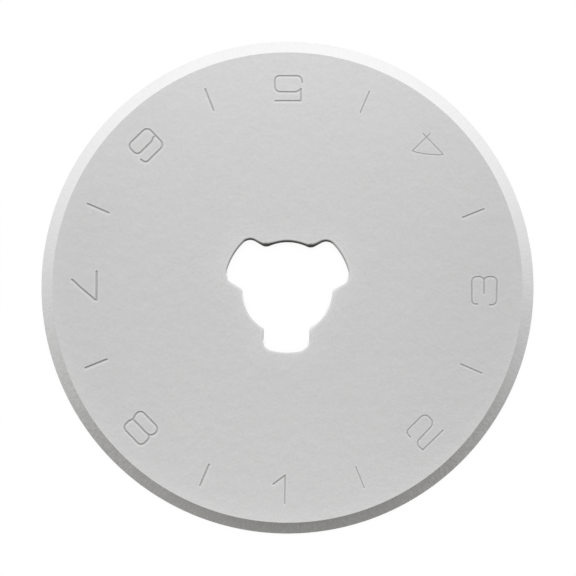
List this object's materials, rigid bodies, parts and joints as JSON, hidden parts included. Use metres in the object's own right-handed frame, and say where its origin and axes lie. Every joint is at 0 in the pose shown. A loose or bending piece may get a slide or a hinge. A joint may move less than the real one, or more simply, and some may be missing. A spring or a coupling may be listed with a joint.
{
  "type": "rotary cutter blade",
  "caption": "Round double-bevelled steel blade for a hand-held rotary cutter, with a keyed hub hole and a ring of position numerals struck into one face.",
  "frame": {"origin": "on the disc's axis at mid-thickness, in the plane of the keen edge", "axes": "+Z is the normal of the marked face and the axis of the disc and of its hub hole; one lobe of the hub hole points along -Y"},
  "size_m": [0.028, 0.028, 0.0004],
  "materials": {
    "ground_steel": "satin ground"
  },
  "bodies": {
    "root": {"blade": "ground_steel"}
  },
  "joints": []
}
